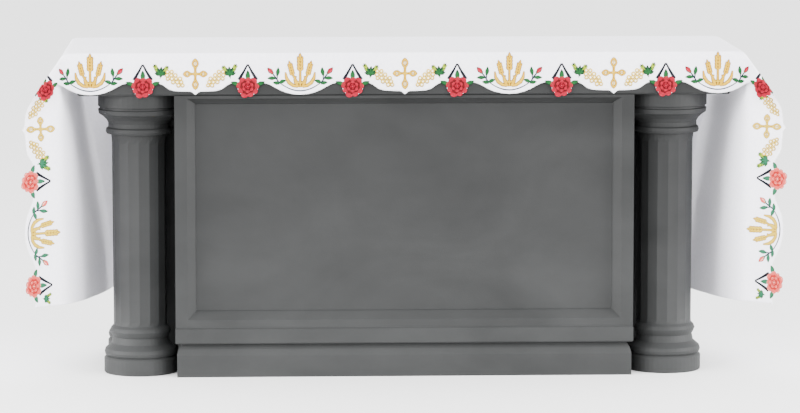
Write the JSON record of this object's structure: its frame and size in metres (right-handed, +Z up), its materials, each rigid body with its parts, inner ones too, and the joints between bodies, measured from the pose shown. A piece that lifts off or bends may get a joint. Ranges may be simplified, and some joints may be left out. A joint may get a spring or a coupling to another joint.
{
  "type": "altar cloth on altar table",
  "caption": "White altar cloth with an embroidered scalloped front edge, draped over a plain stone altar table with a framed block and columns, its ends hanging as side drops.",
  "frame": {"origin": "centre of the underside of the block's foot, on the floor", "axes": "+X along the altar, to the right seen from its front; +Y from the embroidered front towards the back; +Z up"},
  "size_m": [2.3362, 0.8048, 1.0023],
  "materials": {
    "cloth": "white plain-weave cloth, matt, with satin-stitched border",
    "stone": "honed grey stone"
  },
  "bodies": {
    "root": {"altar_cloth": "cloth", "mensa_slab": "stone", "support_block": "stone", "block_foot": "stone", "column_front_left": "stone", "column_front_right": "stone", "column_back_left": "stone", "column_back_right": "stone", "end_post_left": "stone", "end_post_right": "stone"}
  },
  "joints": []
}
